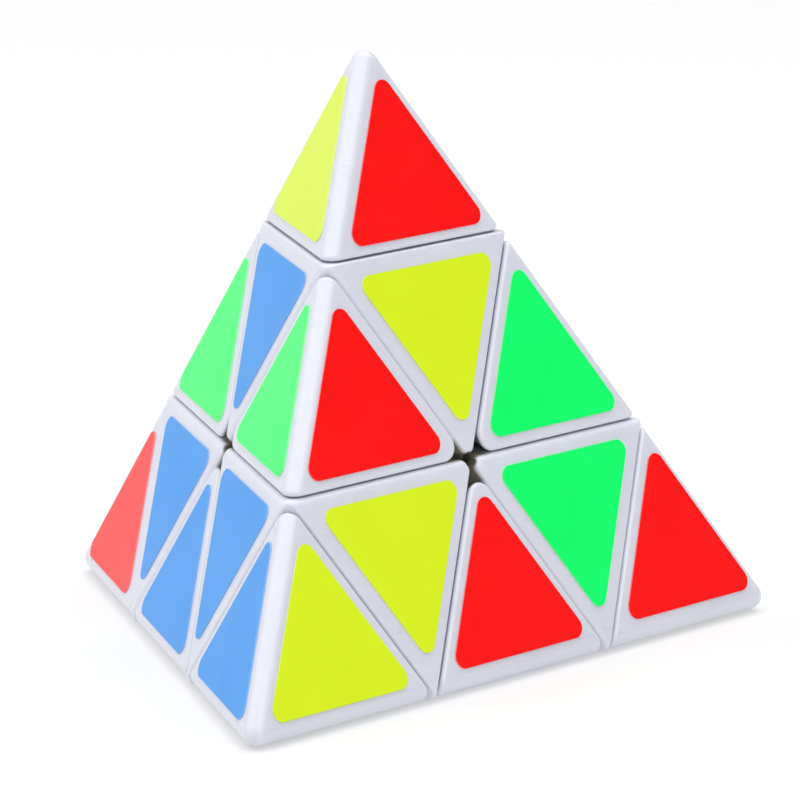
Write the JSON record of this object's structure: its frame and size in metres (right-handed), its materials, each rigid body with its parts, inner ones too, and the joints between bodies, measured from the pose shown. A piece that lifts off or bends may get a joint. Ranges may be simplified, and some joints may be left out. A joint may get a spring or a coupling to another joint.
{
  "type": "pyramid twisty puzzle",
  "caption": "Tetrahedral twisty puzzle in white plastic with coloured stickers, whose tips and layers turn about the corner axes.",
  "frame": {"origin": "centre of the core, where the four turning axes meet; it is also the centre of mass", "axes": "+Z towards the top corner and square to the base side, -Y towards the front corner, +X towards the right corner"},
  "size_m": [0.0968, 0.0844, 0.0799],
  "materials": {
    "body_plastic": "satin",
    "inner_plastic": "matte",
    "screw_steel": "polished",
    "washer_steel": "satin",
    "spring_steel": "satin",
    "sticker_red": "satin",
    "sticker_yellow": "satin",
    "sticker_green": "satin",
    "sticker_blue": "satin"
  },
  "bodies": {
    "core": {"core": "inner_plastic", "axis_screws": "screw_steel", "axis_washers": "washer_steel", "axis_springs": "spring_steel"},
    "axial_top": {"axial_top": "body_plastic", "sticker_axial_top_right_side": "sticker_yellow", "sticker_axial_top_left_side": "sticker_blue", "sticker_axial_top_back_side": "sticker_red"},
    "tip_top": {"tip_top": "body_plastic", "sticker_tip_top_right_side": "sticker_red", "sticker_tip_top_left_side": "sticker_yellow", "sticker_tip_top_back_side": "sticker_blue"},
    "axial_front": {"axial_front": "body_plastic", "sticker_axial_front_right_side": "sticker_yellow", "sticker_axial_front_left_side": "sticker_blue", "sticker_axial_front_base_side": "sticker_green"},
    "tip_front": {"tip_front": "body_plastic", "sticker_tip_front_right_side": "sticker_yellow", "sticker_tip_front_left_side": "sticker_blue", "sticker_tip_front_base_side": "sticker_green"},
    "axial_right": {"axial_right": "body_plastic", "sticker_axial_right_right_side": "sticker_green", "sticker_axial_right_back_side": "sticker_yellow", "sticker_axial_right_base_side": "sticker_red"},
    "tip_right": {"tip_right": "body_plastic", "sticker_tip_right_right_side": "sticker_red", "sticker_tip_right_back_side": "sticker_green", "sticker_tip_right_base_side": "sticker_yellow"},
    "axial_left": {"axial_left": "body_plastic", "sticker_axial_left_left_side": "sticker_blue", "sticker_axial_left_back_side": "sticker_red", "sticker_axial_left_base_side": "sticker_green"},
    "tip_left": {"tip_left": "body_plastic", "sticker_tip_left_left_side": "sticker_red", "sticker_tip_left_back_side": "sticker_green", "sticker_tip_left_base_side": "sticker_blue"},
    "edge_top_front": {"edge_shell_top_front": "body_plastic", "edge_foot_top_front": "inner_plastic", "sticker_edge_top_front_right_side": "sticker_red", "sticker_edge_top_front_left_side": "sticker_green"},
    "edge_top_right": {"edge_shell_top_right": "body_plastic", "edge_foot_top_right": "inner_plastic", "sticker_edge_top_right_right_side": "sticker_green", "sticker_edge_top_right_back_side": "sticker_blue"},
    "edge_top_left": {"edge_shell_top_left": "body_plastic", "edge_foot_top_left": "inner_plastic", "sticker_edge_top_left_left_side": "sticker_green", "sticker_edge_top_left_back_side": "sticker_yellow"},
    "edge_front_right": {"edge_shell_front_right": "body_plastic", "edge_foot_front_right": "inner_plastic", "sticker_edge_front_right_right_side": "sticker_red", "sticker_edge_front_right_base_side": "sticker_blue"},
    "edge_front_left": {"edge_shell_front_left": "body_plastic", "edge_foot_front_left": "inner_plastic", "sticker_edge_front_left_left_side": "sticker_blue", "sticker_edge_front_left_base_side": "sticker_yellow"},
    "edge_right_left": {"edge_shell_right_left": "body_plastic", "edge_foot_right_left": "inner_plastic", "sticker_edge_right_left_back_side": "sticker_yellow", "sticker_edge_right_left_base_side": "sticker_red"}
  },
  "joints": [
    {"name": "turn_top", "type": "hinge", "parent": "core", "child": "axial_top", "pos_m": [0, 0, 0], "axis": [0, 0, 1], "range_deg": [-240, 120]},
    {"name": "twist_tip_top", "type": "hinge", "parent": "axial_top", "child": "tip_top", "pos_m": [0, 0, 0], "axis": [0, 0, 1], "continuous": true},
    {"name": "turn_front", "type": "hinge", "parent": "core", "child": "axial_front", "pos_m": [0, 0, 0], "axis": [0, -0.9428, -0.3333], "range_deg": [-120, 120]},
    {"name": "twist_tip_front", "type": "hinge", "parent": "axial_front", "child": "tip_front", "pos_m": [0, 0, 0], "axis": [0, -0.9428, -0.3333], "continuous": true},
    {"name": "turn_right", "type": "hinge", "parent": "core", "child": "axial_right", "pos_m": [0, 0, 0], "axis": [0.8165, 0.4714, -0.3333], "range_deg": [-120, 120]},
    {"name": "twist_tip_right", "type": "hinge", "parent": "axial_right", "child": "tip_right", "pos_m": [0, 0, 0], "axis": [0.8165, 0.4714, -0.3333], "continuous": true},
    {"name": "turn_left", "type": "hinge", "parent": "core", "child": "axial_left", "pos_m": [0, 0, 0], "axis": [-0.8165, 0.4714, -0.3333], "range_deg": [-120, 120]},
    {"name": "twist_tip_left", "type": "hinge", "parent": "axial_left", "child": "tip_left", "pos_m": [0, 0, 0], "axis": [-0.8165, 0.4714, -0.3333], "continuous": true},
    {"name": "edge_top_front_with_top_layer", "type": "hinge", "parent": "axial_front", "child": "edge_top_front", "pos_m": [0, 0, 0], "axis": [0, 0, 1], "range_deg": [-240, 120]},
    {"name": "edge_top_right_with_top_layer", "type": "hinge", "parent": "axial_right", "child": "edge_top_right", "pos_m": [0, 0, 0], "axis": [0, 0, 1], "range_deg": [-240, 120]},
    {"name": "edge_top_left_with_top_layer", "type": "hinge", "parent": "axial_left", "child": "edge_top_left", "pos_m": [0, 0, 0], "axis": [0, 0, 1], "range_deg": [-240, 120]},
    {"name": "edge_front_right_with_front_layer", "type": "hinge", "parent": "axial_right", "child": "edge_front_right", "pos_m": [0, 0, 0], "axis": [0, -0.9428, -0.3333], "range_deg": [-120, 120]},
    {"name": "edge_front_left_with_left_layer", "type": "hinge", "parent": "axial_front", "child": "edge_front_left", "pos_m": [0, 0, 0], "axis": [-0.8165, 0.4714, -0.3333], "range_deg": [-120, 120]},
    {"name": "edge_right_left_with_right_layer", "type": "hinge", "parent": "axial_left", "child": "edge_right_left", "pos_m": [0, 0, 0], "axis": [0.8165, 0.4714, -0.3333], "range_deg": [-120, 120]}
  ],
  "couplings": [
    {"joint": "edge_top_front_with_top_layer", "follows": "turn_top", "ratio": 1},
    {"joint": "edge_top_right_with_top_layer", "follows": "turn_top", "ratio": 1},
    {"joint": "edge_top_left_with_top_layer", "follows": "turn_top", "ratio": 1},
    {"joint": "edge_front_right_with_front_layer", "follows": "turn_front", "ratio": 1},
    {"joint": "edge_front_left_with_left_layer", "follows": "turn_left", "ratio": 1},
    {"joint": "edge_right_left_with_right_layer", "follows": "turn_right", "ratio": 1}
  ]
}
